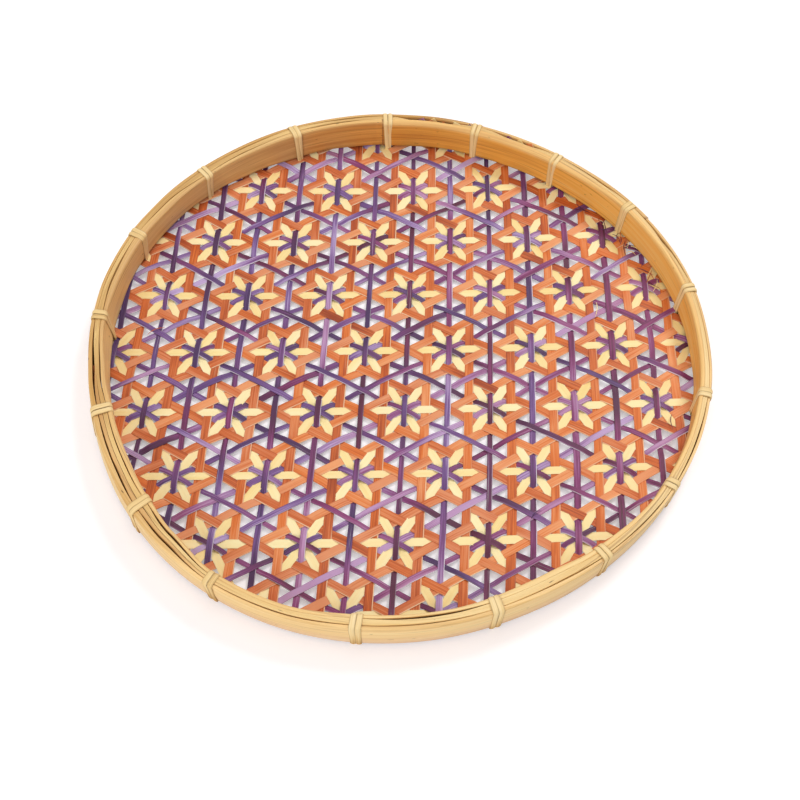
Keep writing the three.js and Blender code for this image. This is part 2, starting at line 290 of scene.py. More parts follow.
def on_rim(angle, inset, height):
    """A point of the rim, from its place in a plain rim that is square and upright."""
    lean, width, split, sunk = [value * MM for value in around(angle, RIM_TOP)]
    share = min(LEAN_MOST, max(0.0, (height - LEAN_FROM) / (LEAN_TO - LEAN_FROM)))
    at_top = inset * split / SPLIT_DEPTH
    if inset > SPLIT_DEPTH:
        at_top = split + (inset - SPLIT_DEPTH) * (width - split) / (RIM_DEPTH - SPLIT_DEPTH)
    foot = around(angle, RIM_FOOT)[0] * MM * share_between(inset, BEND_INSET, SPLIT_DEPTH)
    inset += foot * (1 - share) + (at_top - lean - inset) * share
    place = RIM_MIDDLE + heading(angle) * (rim_radius(angle) - inset)
    return Vector((*place, height - sunk * share))


# The pull on the weave to the right and to the back, in mm: everywhere, by x, by y, and by
# the square of the distance from the middle, with lengths in tenths of a metre.
PULL_RIGHT = (0.85, 0.7, -0.1, -0.7)
PULL_BACK = (-0.1, 0.4, -0.3, 0.45)
# Near the rim the weave is also drawn in at the sides and the front, and out at the back.
EDGE_STARTS, EDGE_ENDS = 112 * MM, 150 * MM
EDGE_IN, EDGE_OUT_BACK, EDGE_IN_FRONT = 1.4, 3.3, 0.6


def drawn(point):
    """Where a point of an even weave lies in this one, which was drawn askew by hand."""
    x, y = (point - RIM_MIDDLE) * 10
    terms = (1, x, y, x * x + y * y)
    pull = Vector([sum(a * b for a, b in zip(side, terms)) for side in (PULL_RIGHT, PULL_BACK)])
    spoke = (point - RIM_MIDDLE).normalized()
    back = EDGE_OUT_BACK * max(0.0, spoke.y) + EDGE_IN_FRONT * max(0.0, -spoke.y)
    edge = share_between((point - RIM_MIDDLE).length, EDGE_STARTS, EDGE_ENDS)
    pull += Vector((-EDGE_IN * spoke.x, back)) * edge
    return point + pull * MM


def weave_lines(step, side, phase):
    """Start, direction and both ends of each line of one family, as the strips run."""
    direction = step.normalized()
    across = Vector((-direction.y, direction.x))
    count = math.ceil(2 * rim_radius(0) / abs(side.dot(across)))
    lines = []
    for number in range(-count, count + 1):
        start = FIRST_FLOWER + side * (number + phase)
        offset = (start - RIM_MIDDLE).dot(across)
        if abs(offset) > STRIP_REACH:
            continue
        foot = (start - RIM_MIDDLE).dot(direction)
        half = math.sqrt((rim_radius(0) + STRIP_END) ** 2 - offset**2)
        lines.append((start, direction, -foot - half, -foot + half))
    return lines


def into_slit(point, height):
    """Where a point of the flat mat lies once the strip's end is bent up between the hoops."""
    point = drawn(point)
    spoke = point - RIM_MIDDLE
    angle = math.atan2(spoke.y, spoke.x)
    bend_starts = rim_radius(angle) - BEND_INSET
    past = spoke.length - bend_starts
    if past <= 0:
        sag = SAG * (1 - (spoke.length / bend_starts) ** 2)
        return Vector((point.x, point.y, MAT_BASE - sag + height))
    turn = min(past / BEND_RADIUS, math.pi / 2)
    radius = bend_starts + (BEND_RADIUS - height) * math.sin(turn)
    rise = BEND_RADIUS - (BEND_RADIUS - height) * math.cos(turn)
    rise += max(0.0, past - BEND_RADIUS * math.pi / 2)
    return on_rim(angle, rim_radius(angle) - radius, MAT_BASE + rise)


def eased(knots, place):
    """The level at a place: knots are pairs of place and level, with smooth steps between."""
    for (before, low), (after, high) in zip(knots, knots[1:]):
        if place <= after:
            share = (place - before) / (after - before)
            return low + (high - low) * share * share * (3 - 2 * share)
    return knots[-1][1]


SEEDS_APART = (7.31, 1.7)
NOISE_TO_ONE = 1.6  # the noise itself seldom goes far past 0.6


def wander(place, seed, wavelength):
    """A slow random walk between about -1 and 1, the same on every run."""
    where = Vector((place / wavelength, *[seed * apart for apart in SEEDS_APART]))
    return noise.noise(where) * NOISE_TO_ONE


def named_layers(bm, *names):
    """A mesh's layers of one number for each point, made where they are missing."""
    return [bm.verts.layers.float.get(name) or bm.verts.layers.float.new(name) for name in names]


# How a strip strays from a straight and even one: by how much, and over what length.
END_STRAY, END_WAVE = 2 * MM, 1.3
WIDTH_STRAY, WIDTH_WAVE = 0.05, 0.07
LINE_STRAY, LINE_WAVE = 0.30 * MM, 0.09
LEVEL_STRAY, LEVEL_WAVE = 0.10, 0.03
TWIST_STRAY, TWIST_WAVE = 0.14, 0.04
TONE_WAVE = 0.035
HUE_STRAY, HUE_WAVE = 0.5, 0.06
HUE_BY_X = 1.5  # the second hue shows more towards the left


def weave_strip(bm, line, width, level_at, tone, edge, seed, mottle):
    """Adds one strip: a grid drawn out along its line, then lifted over and under others."""
    start, direction, low, high = line
    across = Vector((-direction.y, direction.x))
    low += END_STRAY * wander(seed, 5.1, END_WAVE)
    high += END_STRAY * wander(seed, 9.7, END_WAVE)
    steps = round((high - low) / STRIP_STEP)
    map_layer = bm.loops.layers.uv.verify()
    tone_layer, edge_layer, hue_layer = named_layers(bm, "tone", "edge", "hue")
    for vert in bmesh.ops.create_grid(bm, x_segments=steps, y_segments=3, size=1)["verts"]:
        along = low + (high - low) * (vert.co.x + 1) / 2
        side = vert.co.y
        half_width = width / 2 * (1 + WIDTH_STRAY * wander(along, seed + 0.3, WIDTH_WAVE))
        shift = side * half_width + LINE_STRAY * wander(along, seed, LINE_WAVE)
        level = level_at(along) - LOWEST_LEVEL
        level += LEVEL_STRAY * wander(along, seed + 0.6, LEVEL_WAVE)
        level += TWIST_STRAY * side * wander(along, seed + 0.8, TWIST_WAVE)
        for loop in vert.link_loops:
            loop[map_layer].uv = (along + seed, (side + 1) / 2)
        vert[tone_layer] = tone + mottle * wander(along, seed + 1.1, TONE_WAVE)
        vert[edge_layer] = edge
        vert.co = into_slit(start + direction * along + across * shift, max(level, 0) * LEVEL)
        stray = HUE_STRAY * wander(along, seed + 2.3, HUE_WAVE)
        vert[hue_layer] = 0.5 + stray - HUE_BY_X * vert.co.x


def strip_piece(name, bm, material, thickness=STRIP_THICKNESS):
    """The finished piece: the strips get their thickness, half of it to each side, and
    keep a sharp edge."""
    for edge in bm.edges:
        edge.smooth = not edge.is_boundary
    piece = finished(name, bm, material)
    solid = piece.modifiers.new("thickness", "SOLIDIFY")
    solid.thickness = thickness
    solid.offset = 0
    return piece


# Where a shade's deep, middle and pale colours stand between 0 and 1.
DEEP_AT, MIDDLE_AT, PALE_AT = 0.1, 0.5, 0.9


def two_hues(shade, hue, *sets):
    """The shade's colour in the first set of deep, middle and pale where the hue is 0, and
    in the second where it is 1."""
    return hue.blend(*[
        shade.ramp((DEEP_AT, paint(*deep)), (MIDDLE_AT, paint(*middle)), (PALE_AT, paint(*pale)))
        for deep, middle, pale in sets
    ])


def strip_material(name, plain, other, cut_edge, scuffs, grain, dull, edge_shade):
    """Dyed or plain bamboo splint in two hues, each a deep, a middle and a pale colour: long
    fibres, a tone of its own for each strip, often one raw edge where it was split off after
    dyeing, and painted shade along both edges."""
    material, shader, wires = new_material(name)
    place = wires.node("ShaderNodeUVMap", {}, {})
    along, across = place.separate("X"), place.separate("Y")

    def streaks(lengthwise, crosswise, depth, detail):
        return wires.noise(along * lengthwise, across * crosswise, depth, detail)

    tone, edge, hue = [wires.attribute(word) for word in ("tone", "edge", "hue")]
    fibres = streaks(38, 7, 0.0, 3.0)
    patches = streaks(20, 1.3, 4.0, 2.0)
    shade = tone + (patches - 0.5) * 0.7 + (fibres - 0.5) * grain
    colour = two_hues(shade, hue.between(0.2, 0.8), plain, other)
    raw = across.between(0.13, 0.07) * streaks(15, 0.4, 9.0, 1.0).between(0.40, 0.52) * edge
    colour = raw.blend(colour, paint(*cut_edge))
    worn = streaks(26, 5, 14.0, 2.0).between(0.66, 0.74) * scuffs
    colour = worn.blend(colour, paint(*cut_edge))
    # Painted shade: both edges of each strip are darkened, as for the shadow lines beside it.
    shaded_edges = wires.math("ABSOLUTE", across - 0.5).between(0.34, 0.5) * edge_shade
    edge_shade_colour = paint(*[0.7 * level for level in plain[0]])
    colour = shaded_edges.blend(colour, edge_shade_colour)
    colour.feeds(shader, "Base Color")
    roughness = dull + fibres * 0.25
    roughness.feeds(shader, "Roughness")
    ridges = fibres * 0.5 + streaks(70, 18, 2.0, 1.0) * 0.3
    relief = wires.bump(ridges, distance=0.12 * MM, strength=0.6)
    relief.feeds(shader, "Normal")
    shader.inputs["Specular IOR Level"].default_value = 0.35
    return material


ORANGE_WIDTH = 4.6 * MM
orange_material = strip_material(
    "orange_splint",
    plain=((176, 74, 26), (222, 116, 47), (238, 160, 106)),
    other=((148, 62, 28), (202, 101, 49), (226, 146, 101)),
    cut_edge=(252, 220, 180),
    scuffs=0.2,
    grain=1.15,
    dull=0.46,
    edge_shade=0.12,
)
chance = random.Random(3)
# The rising strips' paler tone is painted sheen.
orange_families = [
    ("orange_upright", UPRIGHT, COLUMN, 1, 0.48),
    ("orange_rising", RISING, ROW, 1, 0.76),
    ("orange_falling", FALLING, ROW, 0, 0.50),
]
# Levels at an orange strip's tips and corners, where it goes under another and where over.
TIP_LEVELS, CORNER_LEVELS = (1.1, 2.1), (0.0, 1.0)
ORANGE_CLIMB = 1.5
for name, step, side, first_over, tone_and_sheen in orange_families:
    sixth = step.length / 6

    def orange_level(along):
        # Tips are at multiples of three sixths, and a flower's edge is half way between tips.
        cell = 3 * math.floor(along / sixth / 3)
        over = [(cell + crossing) % 2 == first_over for crossing in range(4)]
        tip, next_tip = [TIP_LEVELS[over[k]] for k in (0, 3)]
        corner, next_corner = [CORNER_LEVELS[over[k]] for k in (1, 2)]
        knots = [(0, tip), (0.28, tip), (0.60, ORANGE_CLIMB), (0.76, corner), (1.24, corner)]
        knots += [(1.37, 0), (1.63, 0), (1.76, next_corner), (2.24, next_corner)]
        knots += [(2.40, ORANGE_CLIMB), (2.72, next_tip), (3, next_tip)]
        return eased(knots, along / sixth - cell)

    bm = bmesh.new()
    for line in weave_lines(step, side, HALF_WAY):
        width = ORANGE_WIDTH * chance.uniform(0.94, 1.05)
        tone = tone_and_sheen + chance.uniform(-0.14, 0.14)
        edge, seed = chance.random(), chance.uniform(0, 50)
        weave_strip(bm, line, width, orange_level, tone, edge, seed, mottle=0.22)
    piece = strip_piece(name, bm, orange_material)
    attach(piece, "root")
    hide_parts("orange_net")


# The pale strips are undyed splints along the rows of flowers. They lie over the orange at
# the sides of each flower and dip under it between flowers, which leaves six petals.
CREAM_WIDTH = 4.6 * MM
CREAM_EDGE = 0.2  # how much a pale strip's raw edge shows
cream_material = strip_material(
    "cream_splint",
    plain=((246, 212, 134), (254, 229, 163), (255, 240, 188)),
    other=((242, 206, 130), (252, 224, 159), (255, 236, 184)),
    cut_edge=(255, 246, 214),
    scuffs=0.1,
    grain=0.45,
    dull=0.48,
    edge_shade=0.1,
)
chance = random.Random(5)
cream_families = [
    ("across", ROW, COLUMN, 0.0),
    ("rising", COLUMN, ROW, 0.8),
    ("falling", ROW - COLUMN, ROW, -0.8),
]
# From a petal's foot to half way to the next flower: place in steps between flowers, level.
PETAL_KNOTS = [(0.205, 1.15), (0.25, 1.3), (0.30, 1.0), (0.335, 0.7), (0.40, 0.3), (0.5, 0.1)]
for name, step, side, flower_level in cream_families:

    def cream_level(along):
        place = abs((along / step.length + 0.5) % 1 - 0.5)
        return eased([(0, flower_level), (0.12, flower_level), *PETAL_KNOTS], place)

    for number, line in enumerate(weave_lines(step, side, AT_FLOWERS)):
        bm = bmesh.new()
        width = CREAM_WIDTH * chance.uniform(0.94, 1.04)
        tone, seed = chance.uniform(0.35, 0.75), chance.uniform(0, 50)
        weave_strip(bm, line, width, cream_level, tone, CREAM_EDGE, seed, mottle=0.18)
        piece = strip_piece(f"pale_{name}_{number + 1}", bm, cream_material)
        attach(piece, "root")
        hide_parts(f"cream_{name}_{number + 1}")


# The purple strips are narrow dyed splints through the flowers. They lie over the pale ones
# at a flower's heart, go under the orange beside it and over the orange half way to the next.
PURPLE_WIDTH = 3.05 * MM
purple_material = strip_material(
    "purple_splint",
    plain=((84, 30, 54), (136, 58, 108), (188, 136, 174)),
    other=((70, 44, 84), (118, 82, 138), (194, 168, 210)),
    cut_edge=(240, 228, 240),
    scuffs=0.35,
    grain=1.0,
    dull=0.42,
    edge_shade=0.2,
)
chance = random.Random(8)
# The rising strips' paler tone is painted sheen.
purple_families = [
    ("purple_upright", UPRIGHT, COLUMN, 3.4, 0.34),
    ("purple_rising", RISING, ROW, 1.8, 0.54),
    ("purple_falling", FALLING, ROW, 2.6, 0.34),
]
PRIME = 1009  # more than there are knots in a row, so that each knot has its own draw


def level_at_knot(point, family):
    """Where three purple strips cross between flowers, their order is a matter of chance."""
    spoke = point - FIRST_FLOWER
    area = ROW.x * COLUMN.y - ROW.y * COLUMN.x
    rows = round(3 * (spoke.x * COLUMN.y - spoke.y * COLUMN.x) / area)
    columns = round(3 * (ROW.x * spoke.y - ROW.y * spoke.x) / area)
    order = random.Random(PRIME * rows + columns).sample([0.0, 1.0, 2.0], 3)
    return order[family]


PURPLE_DIVE, OVER_TIPS = 1.7, 3.1
for family, (name, step, side, flower_level, tone_and_sheen) in enumerate(purple_families):
    sixth = step.length / 6
    bm = bmesh.new()
    for line in weave_lines(step, side, AT_FLOWERS):

        def purple_level(along):
            place = abs((along / sixth + 3) % 6 - 3)
            nearest = round(along / sixth / 6) * 6
            knot = nearest + math.copysign(2, along / sixth - nearest)
            crossing = level_at_knot(line[0] + line[1] * knot * sixth, family)
            knots = [(0, flower_level), (0.27, flower_level), (0.5, PURPLE_DIVE)]
            knots += [(0.72, LOWEST_LEVEL), (1.28, LOWEST_LEVEL)]
            knots += [(1.78, crossing), (2.22, crossing), (2.72, OVER_TIPS), (3, OVER_TIPS)]
            return eased(knots, place)

        width = PURPLE_WIDTH * chance.uniform(0.88, 1.22)
        tone = tone_and_sheen + chance.choice((-0.10, -0.04, 0.0, 0.08, 0.20))
        edge, seed = chance.random(), chance.uniform(0, 50)
        weave_strip(bm, line, width, purple_level, tone, edge, seed, mottle=0.36)
    piece = strip_piece(name, bm, purple_material)
    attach(piece, "root")
    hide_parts("purple_net")


# The outer hoop is a band of split bamboo bent round the mat with its skin side out. Where
# its ends overlap, at the right of the back, the outer end stops short of a binding.
BINDING_ANGLES = [
    11, 34, 53.5, 72.5, 92, 112.5, 134.5, 155.5, 176.5, 198.5, 220, 239, 264, 287, 308, 326.5, 347
]
OUTER_GAPS = [1.3, 1.2, 1.6, 2.6, 0.9, 0.4, 0.2, 0.3, 0.8, 0.5, 0.5, 0.5, 0.3, 0.3, 0.3, 0.6, 0.2]
RAGGED, RAGGED_WAVE = 0.25, 0.07
HOOP_STEPS = 360


def gap_at(angle, gaps):
    """A slit's width: it opens between two bindings and is drawn shut at each."""
    turn = math.degrees(angle) % 360
    for number, start in enumerate(BINDING_ANGLES):
        end = (BINDING_ANGLES + [BINDING_ANGLES[0] + 360])[number + 1]
        place = (turn - start) % 360 / (end - start)
        if place < 1:
            ragged = 1 + RAGGED * wander(angle, 3.3, RAGGED_WAVE)
            return gaps[number] * math.sin(math.pi * place) * ragged * MM
    return 0.0


ROUNDING_STEPS, WALL_CUTS = 5, 9
LEAST_WALL = 6 * MM  # a longer edge of a section is a wall, and is divided


def bent_band(name, corners, bend, material):
    """A band's section, whose corners have each an inset, a height and a rounding in mm, is
    turned once round. Then `bend` gives each point its place in a plain rim, its tone, its
    hue and its painted shade."""
    bm = bmesh.new()
    section = [
        bm.verts.new((RIM_RADIUS - inset * MM, 0, height * MM)) for inset, height, _ in corners
    ]
    bm.faces.new(section)
    for corner, (_, _, rounding) in zip(section, corners):
        bmesh.ops.bevel(bm, geom=[corner], affect="VERTICES", offset=rounding * MM,
                        segments=ROUNDING_STEPS, profile=0.5, material=-1)
    bmesh.ops.delete(bm, geom=bm.faces[:], context="FACES_ONLY")
    walls = [edge for edge in bm.edges if edge.calc_length() > LEAST_WALL]
    bmesh.ops.subdivide_edges(bm, edges=walls, cuts=WALL_CUTS)
    bmesh.ops.spin(bm, geom=bm.verts[:] + bm.edges[:], axis=(0, 0, 1), cent=(0, 0, 0),
                   angle=2 * math.pi, steps=HOOP_STEPS, use_merge=True)
    bmesh.ops.recalc_face_normals(bm, faces=bm.faces[:])
    layers = named_layers(bm, "tone", "hue", "stain")
    for vert in bm.verts:
        angle = math.atan2(vert.co.y, vert.co.x)
        inset = RIM_RADIUS - vert.co.xy.length
        angle, inset, height, *looks = bend(angle, inset, vert.co.z)
        vert.co = on_rim(angle, inset, height)
        for layer, value in zip(layers, looks):
            vert[layer] = value
    return finished(name, bm, material)


FLECK = (74, 48, 26)


def hoop_material(name, plain, warm, streak_and_shade_colour, dull):
    """Split bamboo in two hues, each a deep, a middle and a pale colour: fine fibres run
    round the hoop, with darker streaks, small dark flecks, and painted shade where the mesh says."""
    material, shader, wires = new_material(name)
    place = wires.node("ShaderNodeTexCoord", {}, {}, "Object")
    x, y, z = [place.separate(axis) for axis in "XYZ"]
    across = z + wires.math("SQRT", x * x + y * y)

    def streaks(lengthwise, crosswise, depth, detail):
        return wires.noise(x * lengthwise, y * lengthwise, across * crosswise + depth, detail)

    tone, hue, stain = [wires.attribute(word) for word in ("tone", "hue", "stain")]
    fibres = streaks(28, 1900, 0.0, 3.0)
    bands = streaks(9, 330, 7.0, 2.0)
    shade = tone + (bands - 0.5) * 0.6 + (fibres - 0.5) * 0.5
    colour = two_hues(shade, hue, plain, warm)
    dark = streaks(14, 900, 13.0, 2.0).between(0.58, 0.72) * 0.4
    # Painted shade where the mesh marks it, darkening to the same colour as the streaks.
    dark = dark + (stain + (bands - 0.5) * 0.5).between(0.25, 0.95) * 0.85
    colour = wires.math("MINIMUM", dark, 1.0).blend(colour, paint(*streak_and_shade_colour))
    flecks = streaks(190, 900, 21.0, 1.0).between(0.75, 0.81) * 0.8
    colour = flecks.blend(colour, paint(*FLECK))
    colour.feeds(shader, "Base Color")
    roughness = dull + fibres * 0.3
    roughness.feeds(shader, "Roughness")
    relief = wires.bump(fibres * 0.6 + bands * 0.6, distance=0.25 * MM, strength=0.55)
    relief.feeds(shader, "Normal")
    shader.inputs["Specular IOR Level"].default_value = 0.4
    return material


OUTER_THICKNESS = 1.7 * MM
OUTER_BOTTOM, OUTER_TOP = 2.2 * MM, 22.2 * MM
OUTER_LAP = math.radians(29.5)
outer_material = hoop_material(
    "outer_bamboo",
    plain=((206, 156, 84), (249, 209, 144), (255, 232, 178)),
    warm=((204, 148, 106), (246, 202, 158), (254, 228, 192)),
    streak_and_shade_colour=(140, 92, 50),
    dull=0.32,
)


SNAP_FROM, SNAP_TO = math.radians(1.0), math.radians(0.1)  # away from the lap


def snapped(angle, lap):
    """The two columns of points nearest to a lap are drawn to it, for a sharp step."""
    away = (angle - lap + math.pi) % (2 * math.pi) - math.pi
    return lap + math.copysign(SNAP_TO, away) if abs(away) < SNAP_FROM else angle


def bulge(share):
    """0 at both ends of a wall and 1 half way."""
    return 1 - (2 * share - 1) ** 2


# At these angles: how much paler or darker than elsewhere the rim's upper edges are. The
# paler front and right are a painted highlight, and the darker left of the back is partly
# browner wood and partly painted shade.
TOP_TONE_AND_LIGHT = [(0, 0.0), (60, -0.05), (110, -0.14), (150, -0.2), (190, -0.16), (215, -0.04),
            (240, 0.04), (275, 0.12), (320, 0.16), (345, 0.08)]
OUTER_SET_IN, OUTER_BELLY = 0.25 * MM, 0.4 * MM
OUTER_STEP, OUTER_STEP_FADES = 0.8 * MM, math.radians(28)
OUTER_STEP_ABOVE = 10 * MM  # the lap shows only in the band's upper part
OUTER_WAVE = 0.27
OUTER_TONE, OUTER_TOP_TONE, OUTER_TOP_FROM = 0.50, 0.32, 0.96
OUTER_WARM_TO = 0.55  # the band's foot is warmer in colour, up to this share of its height
OUTER_LAP_END = math.radians(0.8)  # how much of the lap's end gets a painted shadow


def bend_outer(angle, inset, height):
    angle = snapped(angle, OUTER_LAP)
    beyond = (angle - OUTER_LAP) % (2 * math.pi)
    step = OUTER_STEP * max(0.0, 1 - beyond / OUTER_STEP_FADES) * (height > OUTER_STEP_ABOVE)
    share = (height - OUTER_BOTTOM) / (OUTER_TOP - OUTER_BOTTOM)
    wave = wander(angle, 11.0, OUTER_WAVE)
    outward = 1 - inset / OUTER_THICKNESS
    in_slit = outward < 0.2 and share < 0.985
    inset += OUTER_SET_IN - (OUTER_BELLY * bulge(share) + step) * outward + 0.10 * MM * wave
    height += (0.25 * wander(angle, 12.0, 0.18) + 0.2 * wave) * MM
    tone = OUTER_TONE
    # The top edge's tone carries the painted highlight and shade of the rim's top.
    if share >= OUTER_TOP_FROM:
        tone = OUTER_TOP_TONE + around(angle, TOP_TONE_AND_LIGHT)[0]
    hue = max(0.0, 1 - share / OUTER_WARM_TO)
    # Painted shade: darker towards the foot and deep in the slit, and a painted shadow at the lap's
    # end.
    stain = 0.3 * (1 - share) ** 3 + 0.95 * in_slit + 0.9 * (beyond < OUTER_LAP_END)
    return angle, inset, height, tone, hue, stain


corners = [(0, 2.2, 0.4), (0, 22.2, 0.35), (1.7, 22.2, 0.3), (1.7, 2.2, 0.3)]
piece = bent_band("outer_band", corners, bend_outer, outer_material)
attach(piece, "root")
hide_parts("outer_hoop")


# The inner hoop is a thicker band with a rounded upper edge. It presses the mat down inside
# the outer hoop, and one end laps over the other at the back, where its colour changes.
INNER_OUTSIDE, INNER_INSIDE = 5.2 * MM, 7.6 * MM
INNER_BOTTOM, INNER_TOP = 4.3 * MM, 22.6 * MM
INNER_LAP = math.radians(93.4)
INNER_GAPS = [0, 0, 0, 0, 0.8, 0.6, 0.5, 0.8, 0.5, 0.4, 0.8, 0.0, 1.0, 0.0, 0.0, 0.0, 0.0]
# At these angles: how honey-coloured the inner hoop is, and how pale.
INNER_LOOKS = [
    (0, 1.0, 0.60), (40, 1.0, 0.55), (70, 1.0, 0.38), (92.8, 1.0, 0.20), (93.8, 0.8, 0.18),
    (108, 0.6, 0.20), (113, 0.1, 0.14), (124, 0.0, 0.26), (134, 0.0, 0.40), (180, 0.05, 0.52),
    (225, 0.1, 0.62), (270, 0.2, 0.60), (330, 0.8, 0.62),
]
inner_material = hoop_material(
    "inner_bamboo",
    plain=((204, 152, 92), (240, 199, 132), (254, 226, 166)),
    warm=((200, 124, 46), (246, 180, 80), (254, 214, 138)),
    streak_and_shade_colour=(122, 72, 36),
    dull=0.34,
)


INNER_BELLY = 0.3 * MM
INNER_STEP, INNER_STEP_FADES = 1.0 * MM, math.radians(50)
INNER_TOP_FROM, INNER_TOP_FULL = 0.84, 0.98  # where the upper edge's colour sets in, painted light included
INNER_TOP_TONE, INNER_TOP_FADE = 0.50, 0.65
INNER_LAP_END = math.radians(359.5)
INNER_FOOT_SHADE = 0.07  # the share of the height in which the painted shade at the foot fades


def bend_inner(angle, inset, height):
    angle = snapped(angle, INNER_LAP)
    beyond = (angle - INNER_LAP) % (2 * math.pi)
    step = INNER_STEP * max(0.0, 1 - beyond / INNER_STEP_FADES)
    share = (height - INNER_BOTTOM) / (INNER_TOP - INNER_BOTTOM)
    inward = (inset - INNER_OUTSIDE) / (INNER_INSIDE - INNER_OUTSIDE)
    in_slit = inward < 0.1 and share < 0.96
    inset += inward * (0.2 * MM * wander(angle, 21.0, 0.3) - step + INNER_BELLY * bulge(share))
    inset += (1 - inward) * gap_at(angle, INNER_GAPS) / 2
    height += share * 0.25 * wander(angle, 23.0, 0.21) * MM
    top = share_between(share, INNER_TOP_FROM, INNER_TOP_FULL)
    hue, pale = around(angle, INNER_LOOKS)
    # The upper edge's tone carries the painted highlight and shade of the rim's top.
    tone = pale + (INNER_TOP_TONE + around(angle, TOP_TONE_AND_LIGHT)[0] - pale) * top
    hue *= 1 - INNER_TOP_FADE * top
    # Painted shade in the crease at the foot, a painted shadow just before the lap, and painted
    # shade deep in the slit.
    stain = 0.7 * math.exp(-share / INNER_FOOT_SHADE)
    stain += 0.7 * (beyond > INNER_LAP_END) + 0.9 * in_slit
    return angle, inset, height, tone, hue, stain


corners = [(5.2, 4.3, 0.3), (5.2, 22.6, 0.15), (7.6, 22.6, 1.2), (7.6, 4.3, 0.3)]
piece = bent_band("inner_band", corners, bend_inner, inner_material)
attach(piece, "root")
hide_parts("inner_hoop")


# The splint is laid in the slit over the mat's cut ends, and is split in two at the left.
# Between bindings it stands a little off the hoops, and the slit looks dark, with painted
# shade on the splint's sides down in it.
SPLINT_OUTSIDE, SPLINT_INSIDE = 1.75 * MM, 5.15 * MM
splint_material = hoop_material(
    "splint_bamboo",
    plain=((200, 152, 86), (235, 195, 126), (250, 220, 160)),
    warm=((196, 144, 82), (228, 182, 118), (246, 212, 152)),
    streak_and_shade_colour=(140, 92, 50),
    dull=0.32,
)
# At these angles: how far the splint is split in two, from 0 to 1.
SPLINT_SPLIT = [(0, 0.0), (186, 0.0), (197, 1.0), (236, 1.0), (250, 0.0)]
SPLINT_OFF = 0.3 * MM
GROOVE_FROM, GROOVE_TO = 20 * MM, 22.4 * MM
GROOVE_SHUT = 22.45 * MM  # where the groove's floor lies while the splint is whole
SHADED_BELOW = 22.1 * MM
SINKS_PAST, SINKS_BY = 3 * MM, 0.8  # in a wide slit the splint lies a little deeper
SPLINT_TONE, SPLIT_TONE = 0.54, -0.12
OUTER_HALF = 0.45


def bend_splint(angle, inset, height):
    outside = SPLINT_OUTSIDE + SPLINT_OFF + gap_at(angle, OUTER_GAPS)
    inside = SPLINT_INSIDE - gap_at(angle, INNER_GAPS) / 2
    share = (inset - SPLINT_OUTSIDE) / (SPLINT_INSIDE - SPLINT_OUTSIDE)
    inset = outside + (inside - outside) * share
    # Painted shade on the splint's sides below its top.
    stain = 0.9 if height < SHADED_BELOW and not 0.05 < share < 0.95 else 0.0
    split = around(angle, SPLINT_SPLIT)[0]
    # Painted shade in the groove between the split halves.
    if 0.3 < share < 0.6 and GROOVE_FROM < height < GROOVE_TO:
        stain = 0.7 * split
        height += (GROOVE_SHUT - height) * (1 - split)
    height += 0.25 * MM * wander(angle, 31.0, 0.24) - SINKS_BY * max(0.0, outside - SINKS_PAST)
    # The top's tone carries the painted highlight and shade of the rim's top.
    tone = SPLINT_TONE + 0.2 * wander(angle, 33.0, 0.3) + around(angle, TOP_TONE_AND_LIGHT)[0]
    hue = split if share < OUTER_HALF else 0.0
    return angle, inset, height, tone + SPLIT_TONE * hue, hue, stain


corners = [(1.75, 16.4, 0.4), (1.75, 22.5, 0.4), (3.2, 22.5, 0.15), (3.3, 21.9, 0.05),
           (3.4, 22.5, 0.15), (5.15, 22.5, 0.2), (5.15, 16.4, 0.4)]
piece = bent_band("splint_band", corners, bend_splint, splint_material)
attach(piece, "root")
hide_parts("rim_splint")


# Each binding is one flat strand of rattan, wound twice round the whole rim and through the
# mat, with its ends tucked under the turns.
STRAND_WIDTH = 2.6 * MM
STRAND_THICKNESS = 0.5 * MM
STRAND_PITCH = 3.0 * MM
STRAND_CORNER = 1.9 * MM
STRAND_OFF = 0.08 * MM
STRAND_CROWN, STRAND_HOLLOW = 0.12 * MM, 0.36 * MM  # higher in its middle than at its edges
UNDERSIDE, TOPSIDE = 0.85 * MM, 22.8 * MM
strand_material = strip_material(
    "rattan_strand",
    plain=((198, 150, 84), (242, 207, 143), (254, 230, 180)),
    other=((198, 146, 84), (240, 200, 138), (254, 226, 174)),
    cut_edge=(255, 242, 210),
    scuffs=0.15,
    grain=0.9,
    dull=0.42,
    edge_shade=0.55,
)


def round_the_rim(distance):
    """Inset, height and outward direction at a distance along the loop round the rim, which
    starts under the middle and goes up the outside."""
    wide = RIM_DEPTH - 2 * STRAND_CORNER
    tall = TOPSIDE - UNDERSIDE - 2 * STRAND_CORNER
    arc = STRAND_CORNER * math.pi / 2
    runs = [
        (wide / 2, (RIM_DEPTH / 2, UNDERSIDE), (-1, 0)),
        (tall, (0, UNDERSIDE + STRAND_CORNER), (0, 1)),
        (wide, (STRAND_CORNER, TOPSIDE), (1, 0)),
        (tall, (RIM_DEPTH, TOPSIDE - STRAND_CORNER), (0, -1)),
        (wide / 2, (RIM_DEPTH - STRAND_CORNER, UNDERSIDE), (-1, 0)),
    ]
    distance %= sum(run[0] for run in runs) + 4 * arc
    for length, (inset, height), (inward, upward) in runs:
        outward = Vector((-upward, inward))
        end = Vector((inset + inward * length, height + upward * length))
        if distance <= length:
            return inset + inward * distance, height + upward * distance, outward
        distance -= length
        if distance <= arc:
            turn = distance / STRAND_CORNER
            leaning = outward * math.cos(turn) + Vector((inward, upward)) * math.sin(turn)
            return *(end + (leaning - outward) * STRAND_CORNER), leaning
        distance -= arc
    return *end, outward


LOOP_LENGTH = 2 * (RIM_DEPTH + TOPSIDE - UNDERSIDE) - (8 - 2 * math.pi) * STRAND_CORNER
